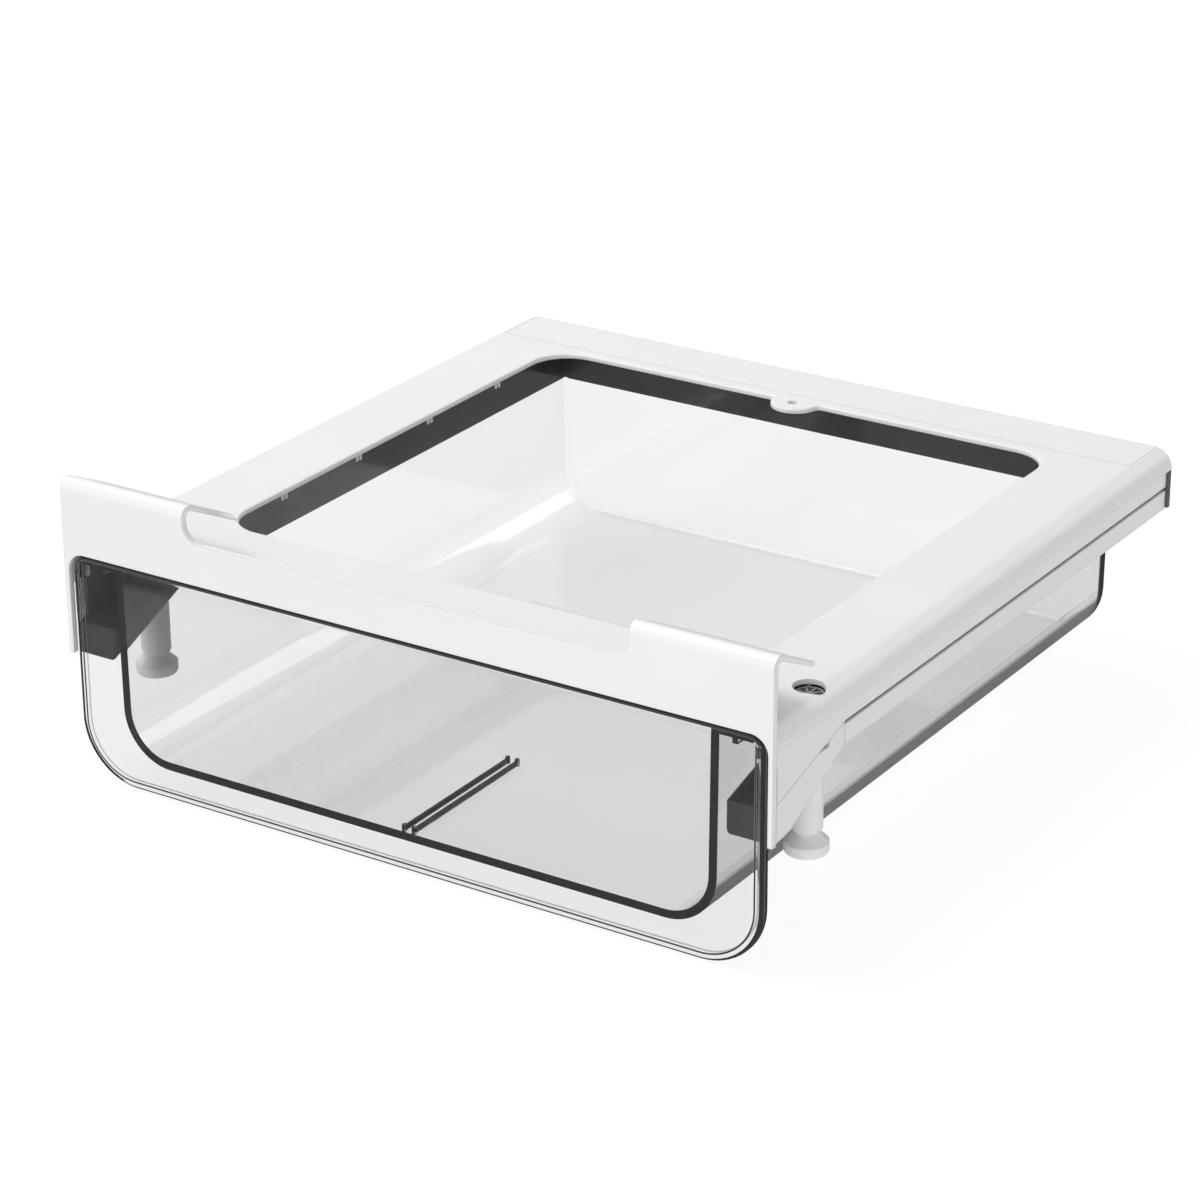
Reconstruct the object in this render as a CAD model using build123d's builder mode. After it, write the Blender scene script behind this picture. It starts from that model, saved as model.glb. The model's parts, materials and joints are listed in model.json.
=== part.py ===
"""Under-shelf fridge drawer organizer: a white frame that clamps to a shelf, and a clear drawer.

Millimetres. +Z is up, -Y is the front, and the drawer slides out along -Y. The origin is the middle
of the corner where the plate's top meets the back of the fascia, where the shelf's front edge stops.
"""

import os
from math import radians, sqrt, tan

from build123d import *

# ---- Driving dimensions -------------------------------------------------------------------------

# Assembly and running clearances
seam = 0.05                 # between pieces that are bonded, snapped or screwed together
rim_gap = 0.3               # drawer's flange above its rail
panel_top_gap = 0.4         # front panel below the fascia's arch
panel_side_gap = 1.6        # front panel inside the fascia's legs
panel_back_gap = 0.35       # front panel before the pieces behind it
hook_play = 0.6             # drawer's hook beside its rail
drawer_side_gap = 2.0       # drawer's wall inside its rail
thread_gap = 0.06           # clamp screw in its nut thread, radial
stem_gap = 0.15             # clamp screw's stem in its guide hole, radial
pivot_gap = 0.06            # pad on the screw's tip, radial
screw_gap = 0.02            # self-tapping screws in their bosses, radial

# Top plate with its rolled sides and side webs
plate_half_width = 150.5    # to the outside of the roll
plate_depth = 299.4         # from the fascia's back to the rear edge
plate_thick = 1.9
roll_radius = 7.9
roll_lip = 0.1              # straight edge below the roll
roll_overhang = 1.2         # roll's outside beyond the web
web_thick = 1.2
web_bottom = -14.9

# Window in the plate
window_side_bar = 35.7      # from the roll's outside to the window
window_rear_bar = 30.1      # from the window to the rear edge
window_front = 45.0
window_corner = 16.5
window_edge_round = 0.7
tab_radius = 10.0
tab_root_round = 2.0
tab_hole_radius = 2.0
tab_hole_setback = 2.4      # hole before the window's rear edge

# Small pairs of pins under the window's side edges
pin_first_y = 84.8
pin_pitch = 47.6
pin_pairs = 4
pin_spacing = 2.2
pin_thick = 0.8
pin_depth = 2.3
pin_inset = 0.3             # pins start beside the window's edge

# Fascia with its arch, legs and hook lips
fascia_inset = 0.5          # fascia's end inside the roll's outside
fascia_thick = 2.4
fascia_top = 13.75          # between the lips
lip_width = 56.0
lip_cut_corner = 7.0
lip_thick = 2.0
lip_end_y = 23.6
lip_end_z = 16.0
lip_fall = 25.7             # degrees below level, towards the rear
fold_radius = 4.1
leg_width = 1.9
leg_bottom = -42.4
arch_top = -2.3
arch_corner = 7.0
foot_depth = 9.0            # half-lap joint between fascia and plate
foot_thick = 0.9

# Rear cover strip, inset in the plate, and the rear wall below it
cover_side_inset = 6.6      # strip's end inside the roll's outside
cover_depth = 24.4
cover_ledge = 3.0
cover_edge_thick = 1.0
rear_wall_thick = 2.0
rear_wall_inset = 0.1
rear_wall_roll_gap = 0.5

# Rails, skirts and braces at the sides
side_channel = 18.1         # from the rail's inner face to the web's
rail_wall = 2.4
rail_bottom = -23.4
rail_floor = 2.0
rail_rear_gap = 0.2
channel_wall = 1.5          # outer walls of the rail and of the brace
channel_wall_top = -13.0
skirt_thick = 1.2
skirt_bottom = -23.9
groove_height = 1.4
brace_rear_y = 46.7         # joint between the brace and the rail
brace_front_top = -30.0
brace_joint_z = -17.7       # top of the brace's wedge at the joint
brace_inner_round = 2.2     # along the wedge's inner edges
brace_skin_inset = 0.2      # skin's face inside the web's
brace_skin_thick = 2.75
brace_skin_front_top = -28.4
brace_skin_joint_z = -15.4  # top of the skin at the joint
brace_skin_gap = 0.4        # open joint between the skin and the web above it
brace_skin_bend_y = 11.2    # bend in the skin's lower edge
brace_skin_bend_z = -41.1
slit_y = 33.2               # slit in the joint line beside the clamp screw
slit_length = 6.5
slit_depth = 1.2

# Clamp screws, their towers and their pads
clamp_side_gap = 1.2        # clamp's hole inside the web
clamp_y = 35.9
clamp_hole_radius = 5.7
clamp_recess = 2.5          # pad's top below the plate's top
clamp_travel = 12.0
thread_radius = 4.0
nut_top = -10.0
nut_height = 6.0
tower_half_depth = 7.5
stem_radius = 5.6
stem_travel_margin = 0.3
neck_radius = 4.4
neck_z = -54.0
neck_taper = 1.6
knob_radius = 7.9
knob_shoulder_z = -57.4
knob_bottom = -62.0
knob_round = 1.7
pad_radius = 5.4
pad_height = 4.4
pad_rim = 0.8
pad_pocket = 2.0            # depth between the pad's ribs
pad_ribs = 8
pad_rib_thick = 0.7
pad_hub_radius = 1.2
pivot_radius = 2.0
pivot_depth = 1.8
pivot_end_gap = 0.1

# Self-tapping screws and their bosses
screw_inset = 8.5           # from the web's inner face
screw_end_inset = 37.2      # last screw before the rail's rear end
screw_pitch = 84.0
screws_per_rail = 3
screw_radius = 1.5
screw_head_radius = 2.8
screw_head_height = 1.6
screw_length = 12.0
screw_tip_room = 1.0
screw_slot = 0.8
screw_slot_depth = 0.8
head_room = 0.3             # around the head, radial
boss_radius = 3.4
cup_radius = 4.2            # raised cup of the rail around each screw
cup_top = -19.0
cup_sink = 1.8              # head's seat above the rail's bottom

# Drawer
drawer_wall = 3.2
drawer_draft = 0.8          # each side leans in by this much at the bottom
drawer_rim = -4.4
drawer_bottom = -80.8
drawer_rear_gap = 3.0
drawer_corner = 20.5        # along the bottom edges
drawer_rear_round = 2.5     # around the rear wall, outside
drawer_inner_round = 1.5    # around the rear wall, inside
flange_thick = 2.2
hook_thick = 2.1
hook_drop = 4.2
wing_inset = 1.0            # wing's end inside the panel's end
wing_length = 3.0           # wings on the flanges' front ends, along Y
wing_end_thick = 3.0
wing_drop = 7.5
stop_width = 6.0            # stops on the flanges and under the plate
stop_length = 4.0
stop_height = 1.6
stop_rib_length = 2.0
stop_rib_height = 2.0
drawer_kept_in = 44.35      # length that stays in the frame when open
stop_margin = 1.0           # stops meet after the drawer's travel
floor_rib_spacing = 4.2
floor_rib_thick = 0.9
floor_rib_height = 2.0
floor_rib_length = 66.0
floor_post_radius = 0.9
floor_post_height = 2.6

# Front panel
panel_thick = 3.8
panel_bottom = -91.8
panel_top_corner = 6.6
panel_bottom_corner = 24.5
panel_front_round = 1.9
panel_back_round = 0.5

# ---- Places worked out from them ----------------------------------------------------------------

front_y = -fascia_thick
roll_flat_x = plate_half_width - roll_radius
roll_inner_radius = roll_radius - plate_thick
roll_bottom = -roll_radius - roll_lip
web_x = plate_half_width - roll_overhang
web_inner_x = web_x - web_thick
web_inner_top = sqrt(roll_inner_radius**2 - (web_inner_x - roll_flat_x) ** 2) - roll_radius
window_half_width = plate_half_width - window_side_bar
window_rear = plate_depth - window_rear_bar
fascia_half_width = plate_half_width - fascia_inset
lip_inner_x = fascia_half_width - lip_width
arch_half_width = fascia_half_width - leg_width
panel_half_width = arch_half_width - panel_side_gap
panel_top = arch_top - panel_top_gap
panel_back = front_y + panel_thick
behind_panel = panel_back + panel_back_gap
cover_half_width = plate_half_width - cover_side_inset
cover_front = plate_depth - cover_depth
rear_wall_half_width = plate_half_width - rear_wall_inset
rear_wall_front = plate_depth - rear_wall_thick
rail_inner_x = web_inner_x - side_channel
rail_outer_x = rail_inner_x + rail_wall
rail_top = drawer_rim - flange_thick - rim_gap
rail_start_y = brace_rear_y + seam
rail_end_y = rear_wall_front - rail_rear_gap
brace_skin_x = web_x - brace_skin_inset
brace_outer_x = brace_skin_x - brace_skin_thick - seam
brace_front_bottom = leg_bottom
brace_length = brace_rear_y - behind_panel
brace_slope = (brace_joint_z - brace_front_top) / brace_length
brace_skin_slope = (brace_skin_joint_z - brace_skin_front_top) / brace_length
tower_outer_x = web_inner_x - seam
rail_floor_x = web_x - skirt_thick - seam
tower_front_y = clamp_y - tower_half_depth
tower_foot_z = brace_front_top + brace_slope * (tower_front_y - behind_panel)
clamp_x = web_inner_x - clamp_hole_radius - clamp_side_gap
stem_top = nut_top - nut_height - clamp_travel - stem_travel_margin
pad_top = -clamp_recess
pad_bottom = pad_top - pad_height
guide_radius = stem_radius + stem_gap
screw_x = web_inner_x - screw_inset
screw_ys = [rail_end_y - screw_end_inset - n * screw_pitch for n in range(screws_per_rail)]
screw_seat = rail_bottom + cup_sink
drawer_half_width = rail_inner_x - drawer_side_gap
drawer_rear = rear_wall_front - drawer_rear_gap
drawer_front = panel_back + seam
drawer_travel = drawer_rear - drawer_kept_in
flange_outer_x = rail_outer_x + hook_play + hook_thick
flange_rear = drawer_rear - drawer_rear_round
wing_x = panel_half_width - wing_inset
wing_rear = drawer_front + wing_length
lip_end_under = lip_end_z - lip_thick * sqrt(1 + tan(radians(lip_fall)) ** 2)
sides = {"left": -1, "right": 1}


def x_span(near, far, side):
    """Lowest X and width of a stretch between two distances from the middle, on one side."""
    return (near if side > 0 else -far), far - near


def finish(piece, name):
    """Labels a finished piece and writes it to its own file."""
    piece.label = name
    export_step(piece, f"parts/{name}.step")


os.makedirs("parts", exist_ok=True)

# ---- Top frame ----------------------------------------------------------------------------------

with BuildPart() as top_frame:
    with BuildSketch(Plane.XZ.offset(-plate_depth)):
        with BuildLine():
            Polyline((0, -plate_thick), (0, 0), (roll_flat_x, 0))
            RadiusArc((roll_flat_x, 0), (plate_half_width, -roll_radius), roll_radius)
            Polyline(
                (plate_half_width, -roll_radius),
                (plate_half_width, roll_bottom),
                (web_x, roll_bottom),
                (web_x, web_bottom),
                (web_inner_x, web_bottom),
                (web_inner_x, web_inner_top),
            )
            RadiusArc((web_inner_x, web_inner_top), (roll_flat_x, -plate_thick), -roll_inner_radius)
            Line((roll_flat_x, -plate_thick), (0, -plate_thick))
        make_face()
        mirror(about=Plane.YZ)
    extrude(amount=plate_depth)

    # Window with the ear tab left standing at its rear edge
    with BuildSketch(Plane.XY.offset(-plate_thick)) as window:
        with Locations((0, (window_front + window_rear) / 2)):
            RectangleRounded(2 * window_half_width, window_rear - window_front, window_corner)
        with Locations((0, window_rear)):
            Circle(tab_radius, mode=Mode.SUBTRACT)
        tab_roots = [
            v for v in window.vertices() if abs(v.X) < tab_radius + 1 and v.Y > window_rear - 1
        ]
        fillet(tab_roots, tab_root_round)
    extrude(amount=plate_thick, mode=Mode.SUBTRACT)
    window_edges = [
        e
        for e in top_frame.edges().filter_by_position(Axis.Z, -0.01, 0.01)
        if abs(e.center().X) < window_half_width + 1
        and window_front - 1 < e.center().Y < window_rear + 1
    ]
    fillet(window_edges, window_edge_round)

    # Small pins, the drawer's stop ribs, the gussets and the screw bosses of each side
    for side in sides.values():
        pin_x = side * (window_half_width + pin_inset + pin_thick / 2)
        for n in range(pin_pairs):
            pair_y = pin_first_y + n * pin_pitch
            for pin_y in (pair_y - pin_spacing / 2, pair_y + pin_spacing / 2):
                with Locations((pin_x, pin_y, -plate_thick / 2)):
                    Box(
                        pin_thick,
                        pin_thick,
                        pin_depth + plate_thick / 2,
                        align=(Align.CENTER, Align.CENTER, Align.MAX),
                    )
        stop_x = side * (flange_outer_x - stop_width / 2)
        stop_y = flange_rear - stop_length - drawer_travel - stop_margin
        with Locations((stop_x, stop_y, -plate_thick - stop_rib_height)):
            Box(
                stop_width,
                stop_rib_length,
                stop_rib_height + plate_thick / 2,
                align=(Align.CENTER, Align.MAX, Align.MIN),
            )
        low_x, width = x_span(web_inner_x, web_x, side)
        with BuildSketch(Plane.YZ.offset(low_x)):
            Polygon(
                (behind_panel, roll_bottom),
                (brace_rear_y, roll_bottom),
                (brace_rear_y, brace_skin_joint_z + brace_skin_gap),
                (behind_panel, brace_skin_front_top + brace_skin_gap),
                align=None,
            )
        extrude(amount=width)
        for y in screw_ys:
            with BuildSketch(Plane.XY.offset(-plate_thick)):
                with Locations((side * screw_x, y)):
                    Circle(boss_radius)
            extrude(amount=cup_top + seam + plate_thick)

    # Pilot holes in the bosses, clamp holes, and the ear tab's hole
    for side in sides.values():
        for y in screw_ys:
            with BuildSketch(Plane.XY.offset(screw_seat)):
                with Locations((side * screw_x, y)):
                    Circle(screw_radius + screw_gap)
            extrude(amount=screw_length + screw_tip_room, mode=Mode.SUBTRACT)
        with BuildSketch(Plane.XY):
            with Locations((side * clamp_x, clamp_y)):
                Circle(clamp_hole_radius)
        extrude(amount=pad_bottom, mode=Mode.SUBTRACT)
    with BuildSketch(Plane.XY):
        with Locations((0, window_rear - tab_hole_setback)):
            Circle(tab_hole_radius)
    extrude(amount=-plate_thick, mode=Mode.SUBTRACT)

    # Notch for the front panel behind the fascia's legs
    with BuildSketch(Plane.XZ) as notch:
        with Locations((0, arch_top)):
            Rectangle(2 * arch_half_width, -2 * leg_bottom, align=(Align.CENTER, Align.MAX))
        fillet(notch.vertices().group_by(Axis.Y)[-1], arch_corner)
    extrude(amount=-behind_panel, mode=Mode.SUBTRACT)

    # Rebate for the fascia's foot
    Box(
        2 * (roll_flat_x + seam),
        foot_depth + seam,
        foot_thick + seam,
        align=(Align.CENTER, Align.MIN, Align.MAX),
        mode=Mode.SUBTRACT,
    )

    # Rebate and opening for the rear cover's strip, and room for the ends of its wall
    with Locations((0, cover_front, 0)):
        Box(
            2 * (cover_half_width + seam),
            plate_depth - cover_front,
            cover_edge_thick + seam,
            align=(Align.CENTER, Align.MIN, Align.MAX),
            mode=Mode.SUBTRACT,
        )
    with Locations((0, cover_front + cover_ledge, 0)):
        Box(
            2 * (cover_half_width - cover_ledge),
            plate_depth - cover_front - cover_ledge,
            4 * plate_thick,
            align=(Align.CENTER, Align.MIN, Align.CENTER),
            mode=Mode.SUBTRACT,
        )
    with Locations((0, rear_wall_front - seam, roll_bottom)):
        Box(
            2 * plate_half_width,
            rear_wall_thick + seam,
            roll_bottom - web_bottom,
            align=(Align.CENTER, Align.MIN, Align.MAX),
            mode=Mode.SUBTRACT,
        )
finish(top_frame.part, "top_frame")

# ---- Front fascia with its arch, legs and hook lips -----------------------------------------------

fall = tan(radians(lip_fall))
with BuildPart() as front_fascia:
    with BuildSketch(Plane.YZ.offset(-fascia_half_width)) as profile:
        Polygon(
            (front_y, leg_bottom),
            (front_y, lip_end_z + fall * (lip_end_y - front_y)),
            (lip_end_y, lip_end_z),
            (lip_end_y, lip_end_under),
            (0, lip_end_under + fall * lip_end_y),
            (0, leg_bottom),
            align=None,
        )
        fillet(profile.vertices().sort_by(Axis.Y)[-1], fold_radius)
        inner_fold = [v for v in profile.vertices() if abs(v.X) < 0.01 and v.Y > fascia_top]
        fillet(inner_fold, fold_radius - lip_thick)
        lip_end = [v for v in profile.vertices() if abs(v.X - lip_end_y) < 0.01]
        fillet(lip_end, lip_thick / 3)
    extrude(amount=2 * fascia_half_width)

    # Arch for the drawer's front panel
    with BuildSketch(Plane.XZ) as arch:
        with Locations((0, arch_top)):
            Rectangle(2 * arch_half_width, -2 * leg_bottom, align=(Align.CENTER, Align.MAX))
        fillet(arch.vertices().group_by(Axis.Y)[-1], arch_corner)
    extrude(amount=fascia_thick, mode=Mode.SUBTRACT)

    # The fascia is low between the lips
    with BuildSketch(Plane.XZ.offset(fascia_thick)) as between_lips:
        with Locations((0, fascia_top)):
            Rectangle(2 * lip_inner_x, 2 * lip_end_z, align=(Align.CENTER, Align.MIN))
        fillet(between_lips.vertices().group_by(Axis.Y)[0], lip_cut_corner)
    extrude(amount=-(fascia_thick + lip_end_y + 1), mode=Mode.SUBTRACT)

    # Foot of the half-lap joint
    Box(
        2 * roll_flat_x,
        foot_depth,
        foot_thick,
        align=(Align.CENTER, Align.MIN, Align.MAX),
    )
finish(front_fascia.part, "front_fascia")

# ---- Rear cover and rear wall ---------------------------------------------------------------------

edge_drop = roll_radius - sqrt(roll_radius**2 - (cover_half_width - roll_flat_x) ** 2)
inner_half_width = cover_half_width - cover_ledge - seam
with BuildPart() as rear_cover:
    # Strip inset in the plate, following the start of the roll at its ends
    with BuildSketch(Plane.XZ.offset(-plate_depth)):
        Polygon(
            (-cover_half_width, -cover_edge_thick),
            (-cover_half_width, -edge_drop),
            (-roll_flat_x, 0),
            (roll_flat_x, 0),
            (cover_half_width, -edge_drop),
            (cover_half_width, -cover_edge_thick),
            align=None,
        )
    extrude(amount=plate_depth - cover_front - seam)
    with Locations((0, plate_depth, -cover_edge_thick)):
        Box(
            2 * inner_half_width,
            plate_depth - cover_front - cover_ledge - seam,
            plate_thick - cover_edge_thick,
            align=(Align.CENTER, Align.MAX, Align.MAX),
        )
finish(rear_cover.part, "rear_cover")

with BuildPart() as rear_wall:
    # Under the strip, between the webs, and below the rolls at its ends
    with BuildSketch(Plane.XZ.offset(-plate_depth)):
        with Locations((0, rail_bottom)):
            Rectangle(
                2 * inner_half_width,
                -plate_thick - seam - rail_bottom,
                align=(Align.CENTER, Align.MIN),
            )
            Rectangle(
                2 * (web_inner_x - seam),
                web_inner_top - rear_wall_roll_gap - rail_bottom,
                align=(Align.CENTER, Align.MIN),
            )
            Rectangle(
                2 * rear_wall_half_width,
                roll_bottom - seam - rail_bottom,
                align=(Align.CENTER, Align.MIN),
            )
    extrude(amount=rear_wall_thick)
finish(rear_wall.part, "rear_wall")

# ---- Rails, skirts, braces and their skins, left and right ----------------------------------------

for name, side in sides.items():
    with BuildPart() as slide_rail:
        low_x, width = x_span(rail_inner_x, rail_outer_x, side)
        with BuildSketch(Plane.YZ.offset(low_x)):
            Polygon(
                (rail_start_y, rail_bottom),
                (rail_end_y, rail_bottom),
                (rail_end_y, rail_top),
                (rail_start_y, rail_top),
                align=None,
            )
        extrude(amount=width)
        low_x, width = x_span(rail_inner_x, rail_floor_x, side)
        with BuildSketch(Plane.YZ.offset(low_x)):
            Polygon(
                (rail_start_y, rail_bottom),
                (rail_end_y, rail_bottom),
                (rail_end_y, rail_bottom + rail_floor),
                (rail_start_y, rail_bottom + rail_floor),
                align=None,
            )
        extrude(amount=width)
        low_x, width = x_span(rail_floor_x - channel_wall, rail_floor_x, side)
        with BuildSketch(Plane.YZ.offset(low_x)):
            Polygon(
                (rail_start_y, rail_bottom),
                (rail_end_y, rail_bottom),
                (rail_end_y, channel_wall_top),
                (rail_start_y, channel_wall_top),
                align=None,
            )
        extrude(amount=width)
        for y in screw_ys:
            with BuildSketch(Plane.XY.offset(rail_bottom)):
                with Locations((side * screw_x, y)):
                    Circle(cup_radius)
            extrude(amount=cup_top - rail_bottom)
            with BuildSketch(Plane.XY.offset(rail_bottom)):
                with Locations((side * screw_x, y)):
                    Circle(screw_head_radius + head_room)
            extrude(amount=cup_sink, mode=Mode.SUBTRACT)
            with BuildSketch(Plane.XY.offset(rail_bottom)):
                with Locations((side * screw_x, y)):
                    Circle(screw_radius + head_room)
            extrude(amount=cup_top - rail_bottom, mode=Mode.SUBTRACT)
    finish(slide_rail.part, f"slide_rail_{name}")

    with BuildPart() as side_skirt:
        low_x, width = x_span(web_x - skirt_thick, web_x, side)
        with BuildSketch(Plane.YZ.offset(low_x)):
            Polygon(
                (rail_start_y, skirt_bottom),
                (rail_end_y, skirt_bottom),
                (rail_end_y, web_bottom - groove_height),
                (rail_start_y, web_bottom - groove_height),
                align=None,
            )
        extrude(amount=width)
    finish(side_skirt.part, f"side_skirt_{name}")

    with BuildPart() as front_brace:
        # Wedge with round inner edges
        low_x, width = x_span(rail_inner_x, brace_outer_x, side)
        with BuildSketch(Plane.YZ.offset(low_x)):
            Polygon(
                (behind_panel, brace_front_top),
                (brace_rear_y, brace_joint_z),
                (brace_rear_y, rail_bottom),
                (behind_panel, brace_front_bottom),
                align=None,
            )
        extrude(amount=width)
        inner_face = front_brace.faces().sort_by(Axis.X)[0 if side > 0 else -1]
        inner_edges = [e for e in inner_face.edges() if e.center().Y < brace_rear_y - 0.01]
        fillet(inner_edges, brace_inner_round)
        # Inner wall beside the tower, which carries on the rail's running edge
        low_x, width = x_span(rail_inner_x, rail_outer_x, side)
        with BuildSketch(Plane.YZ.offset(low_x)):
            Polygon(
                (tower_front_y, rail_top),
                (brace_rear_y, rail_top),
                (brace_rear_y, (brace_joint_z + rail_bottom) / 2),
                (tower_front_y, tower_foot_z),
                align=None,
            )
        extrude(amount=width)
        # Outer wall before the tower, clear of the drawer's wing
        low_x, width = x_span(brace_outer_x - channel_wall, brace_outer_x, side)
        with BuildSketch(Plane.YZ.offset(low_x)):
            Polygon(
                (wing_rear + hook_play, rail_top),
                (tower_front_y, rail_top),
                (tower_front_y, brace_front_top),
                (wing_rear + hook_play, brace_front_top),
                align=None,
            )
        extrude(amount=width)
        # Tower with the nut thread
        for outer_x, foot_z in ((tower_outer_x, brace_skin_joint_z), (brace_outer_x, tower_foot_z)):
            low_x, width = x_span(rail_inner_x, outer_x, side)
            with Locations((low_x, clamp_y, nut_top)):
                Box(
                    width,
                    2 * tower_half_depth,
                    nut_top - foot_z,
                    align=(Align.MIN, Align.CENTER, Align.MAX),
                )
        with BuildSketch(Plane.XY.offset(nut_top)):
            with Locations((side * clamp_x, clamp_y)):
                Circle(thread_radius + thread_gap)
        extrude(amount=-nut_height, mode=Mode.SUBTRACT)
        with BuildSketch(Plane.XY.offset(nut_top - nut_height)):
            with Locations((side * clamp_x, clamp_y)):
                Circle(guide_radius)
        extrude(amount=neck_z - nut_top, mode=Mode.SUBTRACT)
    finish(front_brace.part, f"front_brace_{name}")

    with BuildPart() as brace_cover:
        low_x, width = x_span(brace_outer_x + seam, brace_skin_x, side)
        with BuildSketch(Plane.YZ.offset(low_x)):
            Polygon(
                (behind_panel, brace_skin_front_top),
                (brace_rear_y, brace_skin_joint_z),
                (brace_rear_y, skirt_bottom),
                (brace_skin_bend_y, brace_skin_bend_z),
                (behind_panel, brace_front_bottom),
                align=None,
            )
        extrude(amount=width)
        with BuildSketch(Plane.XY.offset(nut_top)):
            with Locations((side * clamp_x, clamp_y)):
                Circle(guide_radius)
        extrude(amount=neck_z - nut_top, mode=Mode.SUBTRACT)
        # Slit in its top edge
        slit_top = brace_skin_front_top + brace_skin_slope * (slit_y - behind_panel)
        with Locations((low_x + width / 2, slit_y, slit_top)):
            Box(width, slit_length, 2 * slit_depth, mode=Mode.SUBTRACT)
    finish(brace_cover.part, f"brace_cover_{name}")

# ---- Self-tapping screws ------------------------------------------------------------------------

with BuildPart() as frame_screws:
    for side in sides.values():
        for y in screw_ys:
            with BuildSketch(Plane.XY.offset(screw_seat)):
                with Locations((side * screw_x, y)):
                    Circle(screw_head_radius)
            extrude(amount=-screw_head_height)
            with BuildSketch(Plane.XY.offset(screw_seat)):
                with Locations((side * screw_x, y)):
                    Circle(screw_radius)
            extrude(amount=screw_length)
            with Locations((side * screw_x, y, screw_seat - screw_head_height)):
                Box(2 * screw_radius, screw_slot, 2 * screw_slot_depth, mode=Mode.SUBTRACT)
                Box(screw_slot, 2 * screw_radius, 2 * screw_slot_depth, mode=Mode.SUBTRACT)
finish(frame_screws.part, "frame_screws")

# ---- Clamp screws and pads ----------------------------------------------------------------------

for name, side in sides.items():
    with BuildPart() as clamp_screw:
        clamp_axis = Axis((side * clamp_x, clamp_y, 0), (0, 0, 1))
        with BuildSketch(Plane(clamp_axis.position, x_dir=(1, 0, 0), z_dir=(0, -1, 0))):
            with BuildLine():
                Line((0, knob_bottom), (knob_radius - knob_round, knob_bottom))
                RadiusArc(
                    (knob_radius - knob_round, knob_bottom),
                    (knob_radius, knob_bottom + knob_round),
                    -knob_round,
                )
                Polyline(
                    (knob_radius, knob_bottom + knob_round),
                    (knob_radius, knob_shoulder_z),
                    (neck_radius, neck_z),
                    (stem_radius, neck_z + neck_taper),
                    (stem_radius, stem_top),
                    (thread_radius, stem_top),
                    (thread_radius, pad_bottom - pivot_end_gap),
                    (pivot_radius, pad_bottom - pivot_end_gap),
                    (pivot_radius, pad_bottom + pivot_depth - pivot_end_gap),
                    (0, pad_bottom + pivot_depth - pivot_end_gap),
                    (0, knob_bottom),
                )
            make_face()
        revolve(axis=clamp_axis)
    finish(clamp_screw.part, f"clamp_screw_{name}")

    with BuildPart() as clamp_pad:
        with BuildSketch(Plane.XY.offset(pad_bottom)):
            with Locations((side * clamp_x, clamp_y)):
                Circle(pad_radius)
        extrude(amount=pad_height)
        with BuildSketch(Plane.XY.offset(pad_top)):
            with Locations((side * clamp_x, clamp_y)):
                Circle(pad_radius - pad_rim)
                Circle(pad_hub_radius, mode=Mode.SUBTRACT)
                with PolarLocations(0, pad_ribs // 2, angular_range=180):
                    Rectangle(2 * pad_radius, pad_rib_thick, mode=Mode.SUBTRACT)
        extrude(amount=-pad_pocket, mode=Mode.SUBTRACT)
        with BuildSketch(Plane.XY.offset(pad_bottom)):
            with Locations((side * clamp_x, clamp_y)):
                Circle(pivot_radius + pivot_gap)
        extrude(amount=pivot_depth, mode=Mode.SUBTRACT)
    finish(clamp_pad.part, f"clamp_pad_{name}")

# ---- Drawer -------------------------------------------------------------------------------------


def trough(half_width, bottom, rear, corner, rear_round):
    """Block with leaning sides, round bottom edges and a rear end with eased edges."""
    with BuildPart() as block:
        with BuildSketch(Plane.XZ.offset(-rear)) as end:
            Polygon(
                (-half_width, drawer_rim),
                (half_width, drawer_rim),
                (half_width - drawer_draft, bottom),
                (drawer_draft - half_width, bottom),
                align=None,
            )
            fillet(end.vertices().group_by(Axis.Y)[0], corner)
        extrude(amount=rear - drawer_front)
        rear_edges = [
            e
            for e in block.faces().sort_by(Axis.Y)[-1].edges()
            if e.center().Z < drawer_rim - 0.01
        ]
        fillet(rear_edges, rear_round)
    return block.part


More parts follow.
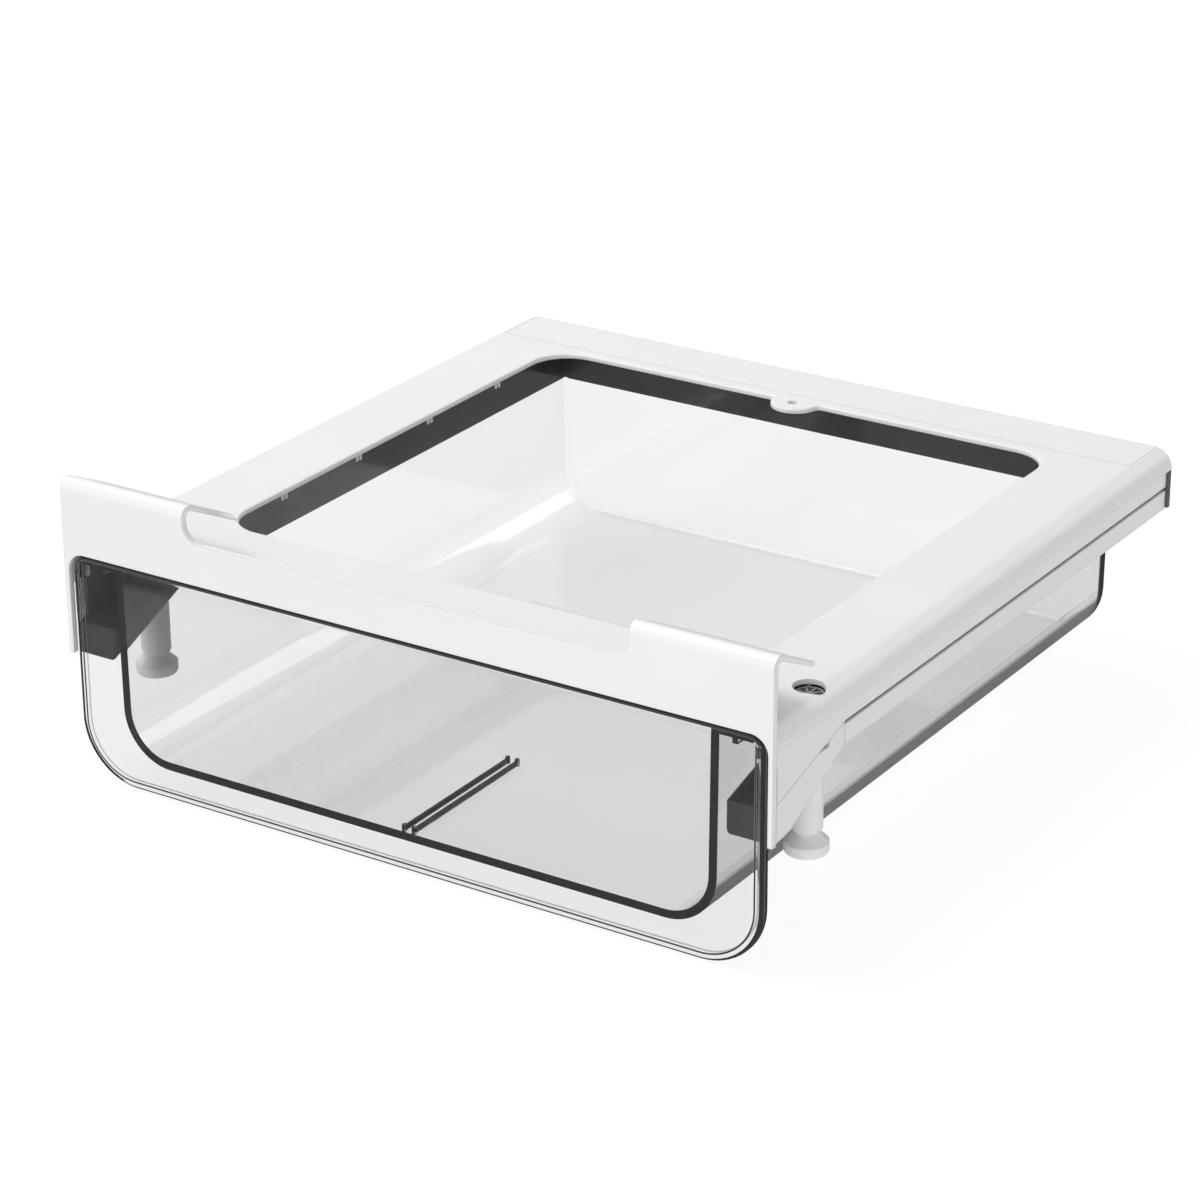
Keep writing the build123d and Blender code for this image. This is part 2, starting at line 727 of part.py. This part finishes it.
outside = trough(
    drawer_half_width,
    drawer_bottom,
    drawer_rear,
    drawer_corner,
    drawer_rear_round,
)
inside = trough(
    drawer_half_width - drawer_wall,
    drawer_bottom + drawer_wall,
    drawer_rear - drawer_wall,
    drawer_corner - drawer_wall,
    drawer_inner_round,
)
with BuildPart() as drawer_box:
    add(outside)
    add(inside, mode=Mode.SUBTRACT)

    # Rim flanges with hooks over the rails, a stop on the rear end of each, and a wing on the front
    # end that reaches out behind the panel and turns down
    for side in sides.values():
        low_x, width = x_span(drawer_half_width - drawer_wall / 2, flange_outer_x, side)
        hook_x, hook_width = x_span(flange_outer_x - hook_thick, flange_outer_x, side)
        with BuildSketch(Plane.XZ.offset(-flange_rear)):
            with Locations((low_x, drawer_rim)):
                Rectangle(width, flange_thick, align=(Align.MIN, Align.MAX))
            with Locations((hook_x, drawer_rim)):
                Rectangle(hook_width, hook_drop, align=(Align.MIN, Align.MAX))
        extrude(amount=flange_rear - drawer_front)
        with Locations((side * (flange_outer_x - stop_width / 2), flange_rear, drawer_rim)):
            Box(
                stop_width,
                stop_length,
                2 * stop_height,
                align=(Align.CENTER, Align.MAX, Align.CENTER),
            )
        low_x, width = x_span(flange_outer_x - hook_thick, wing_x, side)
        with Locations((low_x, drawer_front, drawer_rim)):
            Box(width, wing_length, flange_thick, align=(Align.MIN, Align.MIN, Align.MAX))
        low_x, width = x_span(wing_x - wing_end_thick, wing_x, side)
        with Locations((low_x, drawer_front, drawer_rim)):
            Box(width, wing_length, wing_drop, align=(Align.MIN, Align.MIN, Align.MAX))

    # Low double rib along the middle of the floor, with a post at each end
    floor_z = drawer_bottom + drawer_wall
    for rib_x in (-floor_rib_spacing / 2, floor_rib_spacing / 2):
        with Locations((rib_x, drawer_front, floor_z - drawer_wall / 2)):
            Box(
                floor_rib_thick,
                floor_rib_length,
                floor_rib_height + drawer_wall / 2,
                align=(Align.CENTER, Align.MIN, Align.MIN),
            )
        for post_y in (drawer_front + floor_post_radius, drawer_front + floor_rib_length):
            with Locations((rib_x, post_y, floor_z - drawer_wall / 2)):
                Cylinder(
                    floor_post_radius,
                    floor_post_height + drawer_wall / 2,
                    align=(Align.CENTER, Align.CENTER, Align.MIN),
                )
finish(drawer_box.part, "drawer_box")

with BuildPart() as drawer_front_panel:
    with BuildSketch(Plane.XZ.offset(-panel_back)) as outline:
        with Locations((0, panel_top)):
            Rectangle(
                2 * panel_half_width,
                panel_top - panel_bottom,
                align=(Align.CENTER, Align.MAX),
            )
        fillet(outline.vertices().group_by(Axis.Y)[-1], panel_top_corner)
        fillet(outline.vertices().group_by(Axis.Y)[0], panel_bottom_corner)
    extrude(amount=panel_thick)
    faces = drawer_front_panel.faces().filter_by(Axis.Y).sort_by(Axis.Y)
    fillet(faces[0].edges(), panel_front_round)
    fillet(drawer_front_panel.faces().sort_by(Axis.Y)[-1].edges(), panel_back_round)
finish(drawer_front_panel.part, "drawer_front_panel")
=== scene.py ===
"""Studio picture of an under-shelf fridge drawer organizer: white frame, clear drawer. Metres."""

from functools import reduce
import json
import math

import bpy
from mathutils import Matrix, Vector


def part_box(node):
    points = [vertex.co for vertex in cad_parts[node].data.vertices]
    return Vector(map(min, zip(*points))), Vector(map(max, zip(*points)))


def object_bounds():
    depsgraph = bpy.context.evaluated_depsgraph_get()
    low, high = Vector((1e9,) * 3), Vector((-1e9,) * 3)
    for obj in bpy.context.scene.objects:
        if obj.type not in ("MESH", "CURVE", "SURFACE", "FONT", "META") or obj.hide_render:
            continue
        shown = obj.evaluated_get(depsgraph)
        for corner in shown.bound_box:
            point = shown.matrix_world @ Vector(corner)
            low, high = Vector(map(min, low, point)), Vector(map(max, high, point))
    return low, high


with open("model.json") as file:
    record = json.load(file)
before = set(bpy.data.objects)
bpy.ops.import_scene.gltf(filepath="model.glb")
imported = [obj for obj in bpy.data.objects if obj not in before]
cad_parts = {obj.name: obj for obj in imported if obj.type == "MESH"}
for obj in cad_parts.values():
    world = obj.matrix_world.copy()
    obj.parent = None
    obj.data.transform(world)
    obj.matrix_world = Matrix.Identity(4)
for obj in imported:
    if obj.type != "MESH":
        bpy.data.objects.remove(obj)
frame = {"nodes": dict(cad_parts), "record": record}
cad_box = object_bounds()

# ---- Camera -------------------------------------------------------------------------------------

# Angles are radians; the sensor and the lens are millimetres.
CAMERA_PLACE = (0.72705, -0.99495, 0.54386)
CAMERA_YAW = 0.5757
CAMERA_PITCH = 0.4083
CAMERA_ROLL = -0.0056
CAMERA_REACH = (0.05, 30)
SENSOR = 36.0
FOCAL_PIXELS = 3893.9
FRAME_PIXELS = 1200

camera = bpy.data.objects.new("camera", bpy.data.cameras.new("camera"))
camera.data.sensor_width = SENSOR
camera.data.lens = FOCAL_PIXELS / FRAME_PIXELS * SENSOR
camera.data.clip_start, camera.data.clip_end = CAMERA_REACH
camera.matrix_world = (
    Matrix.Translation(CAMERA_PLACE)
    @ Matrix.Rotation(CAMERA_YAW, 4, "Z")
    @ Matrix.Rotation(math.pi / 2 - CAMERA_PITCH, 4, "X")
    @ Matrix.Rotation(CAMERA_ROLL, 4, "Z")
)
bpy.context.scene.collection.objects.link(camera)
bpy.context.scene.camera = camera

# ---- Node trees ---------------------------------------------------------------------------------

WHOLE = (0.0, 1.0)

# Nearly all of a noise's values lie in this span.
NOISE_SPAN = (0.3, 0.7)

# A colour mix's sockets by number, because its mixes of other kinds share their names.
MIX_FACTOR, MIX_FIRST, MIX_SECOND, MIX_COLOUR = 0, 6, 7, 2
EASE_SAMPLES = 4


class Nodes:
    """A node tree, with short ways to add and join nodes."""

    def __init__(self, tree):
        self.tree = tree

    def add(self, kind, inputs=None, **settings):
        """Adds a node, sets its properties, and fills or joins its inputs."""
        node = self.tree.nodes.new(kind)
        for key, value in settings.items():
            setattr(node, key, value)
        for key, value in (inputs or {}).items():
            self.fill(node.inputs[key], value)
        return node

    def fill(self, socket, value):
        """Joins a socket to another node's output, or gives it a plain value."""
        if isinstance(value, bpy.types.NodeSocket):
            self.tree.links.new(value, socket)
        else:
            socket.default_value = value

    def spread(self, value, source, low, high, **settings):
        """Value from the source span spread between low and high."""
        start, end = source
        inputs = {"Value": value, "From Min": start, "From Max": end, "To Min": low, "To Max": high}
        return self.add("ShaderNodeMapRange", inputs, **settings).outputs[0]

    def band(self, value, span, blur):
        """One inside the span, zero outside, with a blurred step at both ends."""
        low, high = span
        rise = self.spread(value, (low - blur, low + blur), 0.0, 1.0)
        fall = self.spread(value, (high - blur, high + blur), 1.0, 0.0)
        return self.times(rise, fall)

    def calculate(self, operation, *values):
        """Result of one arithmetic operation."""
        return self.add("ShaderNodeMath", dict(enumerate(values)), operation=operation).outputs[0]

    def times(self, *values):
        """Product of the values."""
        return reduce(lambda first, second: self.calculate("MULTIPLY", first, second), values)

    def most(self, *values):
        """Highest of the values."""
        return reduce(lambda first, second: self.calculate("MAXIMUM", first, second), values)

    def split(self, vector):
        """The three parts of a vector."""
        return self.add("ShaderNodeSeparateXYZ", {0: vector}).outputs


class Shader(Nodes):
    """A new material's nodes."""

    def __init__(self, name):
        self.material = bpy.data.materials.new(name)
        self.material.use_nodes = True
        super().__init__(self.material.node_tree)
        self.surface = self.tree.nodes["Principled BSDF"]
        self.output = self.tree.nodes["Material Output"]
        self.place = self.add("ShaderNodeTexCoord").outputs["Object"]

    def set(self, **inputs):
        """Fills the main shader's inputs, named with underscores for spaces."""
        for key, value in inputs.items():
            self.fill(self.surface.inputs[key.replace("_", " ")], value)

    def noise(self, scale, detail, stretch=(1, 1, 1)):
        """Noise value over the object's own coordinates."""
        placed = self.add("ShaderNodeMapping", {"Vector": self.place, "Scale": stretch}).outputs[0]
        inputs = {"Vector": placed, "Scale": scale, "Detail": detail}
        return self.add("ShaderNodeTexNoise", inputs).outputs[0]

    def varied(self, noise, low, high):
        """Number that a noise moves between low and high."""
        return self.spread(noise, NOISE_SPAN, low, high)

    def shaded(self, noise, first, second):
        """Colour that a noise moves between two greys."""
        return self.blend(self.varied(noise, *WHOLE), grey(first), grey(second))

    def blend(self, factor, first, second):
        """Colour between two colours."""
        inputs = {MIX_FACTOR: factor, MIX_FIRST: first, MIX_SECOND: second}
        return self.add("ShaderNodeMix", inputs, data_type="RGBA").outputs[MIX_COLOUR]

    def bump(self, height, strength, distance, normal=None):
        """Surface normal from a height, laid over another normal if there is one."""
        inputs = {"Height": height, "Strength": strength, "Distance": distance}
        if normal is not None:
            inputs["Normal"] = normal
        return self.add("ShaderNodeBump", inputs).outputs[0]

    def eased(self, radius):
        """Normal that is softened along sharp edges."""
        return self.add("ShaderNodeBevel", {"Radius": radius}, samples=EASE_SAMPLES).outputs[0]


def grey(value):
    """Grey as an opaque colour."""
    return (value, value, value, 1)


# ---- Painted refraction shade on the clear drawer's edges ---------------------------------------

# Clear plastic looks dark where its edges bend light; here that dark is painted shade, opaque dark
# grey laid on the edges.
# A facing is the rearward part of the surface's normal, -1 on a face that looks straight to the
# front.
FACING_BLUR = 0.005
FRONT_ROUND_FACING = (-0.95, -0.35)
BACK_ROUND_FACING = (0.15, 0.95)
FRONT_FLAT_FACING = (-0.999, -0.98)

# Places along Y for the panel's back and the trough's front end, then the box round both ribs.
EDGE_BLUR = 0.0001
TROUGH_BLUR = 0.00001
PANEL_BACK = (0.00137, 0.00142)
TROUGH_END = (0.00143, 0.00158)
RIBS_ACROSS = (-0.0027, 0.0027)
RIBS_ALONG = (0.0019, 0.0683)
RIBS_HEIGHT = (-0.0773, -0.0745)

# Radius of the panel's lower corners, and how far in from its outline the painted inner line lies.
PANEL_CORNER = 0.0245
LINE_INSET = (0.0034, 0.0027)

panel_low, panel_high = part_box("drawer_front_panel")


def painted_inset_line(s, x, z):
    """One on a painted dark line, standing in for the refracted back edge, set in from the sides,
    the bottom and the lower corners of the front panel.
    """
    past_side = s.calculate("SUBTRACT", s.calculate("ABSOLUTE", x), panel_high[0] - PANEL_CORNER)
    past_bottom = s.calculate("SUBTRACT", panel_low[2] + PANEL_CORNER, z)
    past = s.add("ShaderNodeCombineXYZ", {"X": past_side, "Y": past_bottom}).outputs[0]
    outward = s.add("ShaderNodeVectorMath", {0: past, 1: (0, 0, 0)}, operation="MAXIMUM").outputs[0]
    distance = s.add("ShaderNodeVectorMath", {0: outward}, operation="LENGTH").outputs["Value"]
    return s.band(distance, [PANEL_CORNER - inset for inset in LINE_INSET], EDGE_BLUR)


def painted_panel_outline(s, x, y, z):
    """One on the front panel's rounded front and back edges, and on the line inside them, where
    refraction shade is painted dark.
    """
    facing = s.split(s.add("ShaderNodeTexCoord").outputs["Normal"])["Y"]
    front_round = s.band(facing, FRONT_ROUND_FACING, FACING_BLUR)
    back_round = s.band(facing, BACK_ROUND_FACING, FACING_BLUR)
    front_flat = s.spread(facing, FRONT_FLAT_FACING, 1.0, 0.0)
    line = s.times(painted_inset_line(s, x, z), front_flat)
    panel = s.spread(y, PANEL_BACK, 1.0, 0.0)
    return s.times(s.most(front_round, back_round, line), panel)


def painted_rib_shade(s, x, y, z):
    """One on the two ribs of the tray's floor, where their refraction shade is painted dark."""
    spans = ((x, RIBS_ACROSS), (y, RIBS_ALONG), (z, RIBS_HEIGHT))
    return s.times(*(s.band(value, span, EDGE_BLUR) for value, span in spans))


def painted_refraction_shade(s):
    """One on every edge and rib of the drawer where refraction shade is painted dark, zero
    elsewhere.
    """
    x, y, z = s.split(s.place)
    painted_trough_end = s.band(y, TROUGH_END, TROUGH_BLUR)
    return s.most(painted_panel_outline(s, x, y, z), painted_rib_shade(s, x, y, z), painted_trough_end)


# ---- Materials ----------------------------------------------------------------------------------

# Noise: scale, which is how many times it changes in a metre, and detail.
FLOW_CLOUDS = (14, 3)
MOULD_POLISH = (90, 4)
SPARK_GRAIN = (2600, 2)
CLEAR_CLOUDS = (9, 2)
CLEAR_POLISH = (40, 3)
CLEAR_RIPPLES = (22, 1)
BRUSH_MARKS = (900, 4)
BRUSH_STRETCH = (1, 8, 1)

PLASTIC_IOR = 1.5
MOULD_GLOSS = 0.5
MOULD_ROUGH_SPREAD = (0.88, 1.12)
SPARK_DEPTH = 0.00002
CLEAR_GREYS = (0.985, 1.0)
CLEAR_ROUGH = (0.008, 0.02)
CLEAR_ABSORBED = 20.0
RIPPLE_STRENGTH, RIPPLE_DEPTH = 0.05, 0.0006
# Grey of the painted refraction shade on the drawer's edges and ribs.
PAINTED_EDGE_GREY = 0.03
ZINC_GREYS = (0.52, 0.68)
ZINC_ROUGH = (0.24, 0.4)
BRUSH_STRENGTH, BRUSH_DEPTH = 0.1, 0.00003


def moulded(name, greys, rough, grain, ease):
    """Opaque moulded plastic: faint flow clouds, fine spark-eroded grain and eased edges."""
    s = Shader(name)
    smooth, coarse = (rough * part for part in MOULD_ROUGH_SPREAD)
    s.set(
        Base_Color=s.shaded(s.noise(*FLOW_CLOUDS), *greys),
        Roughness=s.varied(s.noise(*MOULD_POLISH), smooth, coarse),
        Specular_IOR_Level=MOULD_GLOSS,
        IOR=PLASTIC_IOR,
        Normal=s.bump(s.noise(*SPARK_GRAIN), grain, SPARK_DEPTH, s.eased(ease)),
    )
    return s.material


def clear(name):
    """Clear moulded plastic: uneven polish, faint ripples, an absorbing body and painted refraction
    shade as opaque dark edges.
    """
    s = Shader(name)
    # Painted refraction shade: opaque dark grey, without transmission, on the drawer's edges and
    # ribs.
    edges = painted_refraction_shade(s)
    s.set(
        Base_Color=s.blend(edges, s.shaded(s.noise(*CLEAR_CLOUDS), *CLEAR_GREYS), grey(PAINTED_EDGE_GREY)),
        Roughness=s.varied(s.noise(*CLEAR_POLISH), *CLEAR_ROUGH),
        Transmission_Weight=s.spread(edges, WHOLE, 1.0, 0.0),
        IOR=PLASTIC_IOR,
        Normal=s.bump(s.noise(*CLEAR_RIPPLES), RIPPLE_STRENGTH, RIPPLE_DEPTH),
    )
    body = s.add("ShaderNodeVolumeAbsorption", {"Color": grey(0.0), "Density": CLEAR_ABSORBED})
    s.fill(s.output.inputs["Volume"], body.outputs[0])
    return s.material


def zinc(name):
    """Zinc-plated steel with a brushed grain."""
    s = Shader(name)
    brushed = s.noise(*BRUSH_MARKS, BRUSH_STRETCH)
    s.set(
        Base_Color=s.shaded(brushed, *ZINC_GREYS),
        Metallic=1.0,
        Roughness=s.varied(brushed, *ZINC_ROUGH),
        Normal=s.bump(brushed, BRUSH_STRENGTH, BRUSH_DEPTH),
    )
    return s.material


materials = {
    "white_plastic": moulded("white_plastic", (0.86, 0.88), rough=0.34, grain=0.10, ease=0.0008),
    # The rails', braces' and rear wall's dark grey is partly their plastic's own colour and partly
    # painted shade for inner faces that lie in shadow.
    "dark_plastic": moulded("dark_plastic", (0.105, 0.115), rough=0.34, grain=0.20, ease=0.0004),
    "clear_plastic": clear("clear_plastic"),
    "clamp_plastic": moulded("clamp_plastic", (0.84, 0.87), rough=0.40, grain=0.12, ease=0.001),
    "pad_plastic": moulded("pad_plastic", (0.24, 0.30), rough=0.50, grain=0.30, ease=0.0003),
    "screw_steel": zinc("screw_steel"),
}
for subpart in frame["record"]["subparts"]:
    node = frame["nodes"][subpart["node"]]
    node.data.materials.clear()
    node.data.materials.append(materials[subpart["material_slot"]])

# ---- Floor --------------------------------------------------------------------------------------

# The floor glows evenly, and less where a glossy surface mirrors it.
FLOOR_DROP = 0.0004
FLOOR_HALF = 6.0
FLOOR_GREYS = (0.12, 0.125)
FLOOR_CLOUDS = (3, 2)
FLOOR_ROUGH = 0.9
FLOOR_SEEN = 0.91
FLOOR_MIRRORED = 0.14
floor_z = cad_box[0][2] - FLOOR_DROP

floor_mesh = bpy.data.meshes.new("floor")
floor_mesh.from_pydata(
    [
        (-FLOOR_HALF, -FLOOR_HALF, floor_z),
        (FLOOR_HALF, -FLOOR_HALF, floor_z),
        (FLOOR_HALF, FLOOR_HALF, floor_z),
        (-FLOOR_HALF, FLOOR_HALF, floor_z),
    ],
    [],
    [(0, 1, 2, 3)],
)
floor = bpy.data.objects.new("floor", floor_mesh)
bpy.context.scene.collection.objects.link(floor)
paper = Shader("studio_paper")
bounces = paper.add("ShaderNodeLightPath").outputs["Glossy Depth"]
paper.set(
    Base_Color=paper.shaded(paper.noise(*FLOOR_CLOUDS), *FLOOR_GREYS),
    Roughness=FLOOR_ROUGH,
    Specular_IOR_Level=0.0,
    Emission_Color=grey(1.0),
    Emission_Strength=paper.spread(bounces, WHOLE, FLOOR_SEEN, FLOOR_MIRRORED),
)
floor_mesh.materials.append(paper.material)

# ---- Sky and lamps ------------------------------------------------------------------------------

# Sky light changes along each axis, over a span of the direction's own part along that axis.
SKY = {
    "X": {"source": (-1.0, 1.0), "low": 0.76, "high": 0.38},
    "Y": {"source": (-1.0, 1.0), "low": 1.44, "high": 0.70},
    "Z": {"source": (0.0, 0.8), "low": 1.15, "high": 0.75},
}
MIDDLE = (0, 0.15, 0)

world = bpy.data.worlds.new("studio")
bpy.context.scene.world = world
world.use_nodes = True
sky = Nodes(world.node_tree)
direction = sky.split(sky.add("ShaderNodeTexCoord").outputs["Generated"])
light = [
    sky.spread(direction[axis], **change, interpolation_type="SMOOTHSTEP")
    for axis, change in SKY.items()
]
background = world.node_tree.nodes["Background"]
sky.fill(background.inputs["Strength"], sky.times(*light))
sky.fill(background.inputs["Color"], grey(1.0))


def lamp(name, place, target, size, watts):
    """Large soft area lamp that points at a target."""
    data = bpy.data.lights.new(name, "AREA")
    data.shape = "RECTANGLE"
    data.size, data.size_y = size
    data.energy = watts
    aim = Vector([end - start for start, end in zip(place, target)])
    holder = bpy.data.objects.new(name, data)
    holder.rotation_euler = aim.to_track_quat("-Z", "Y").to_euler()
    holder.location = place
    bpy.context.scene.collection.objects.link(holder)


lamp("key", place=(-0.8, -0.3, 2.1), target=MIDDLE, size=(1.2, 1.2), watts=21.0)
lamp("fill", place=(1.1, -1.6, 0.25), target=(0.1, 0.1, -0.03), size=(0.9, 0.4), watts=4.0)
lamp("rear", place=(0.88, 1.80, 1.05), target=MIDDLE, size=(1.0, 1.0), watts=5.0)
lamp("back", place=(-1.0, 0.9, 1.6), target=MIDDLE, size=(1.0, 1.0), watts=7.0)

bpy.context.scene.view_settings.view_transform = "Standard"
bpy.context.scene.view_settings.look = "None"
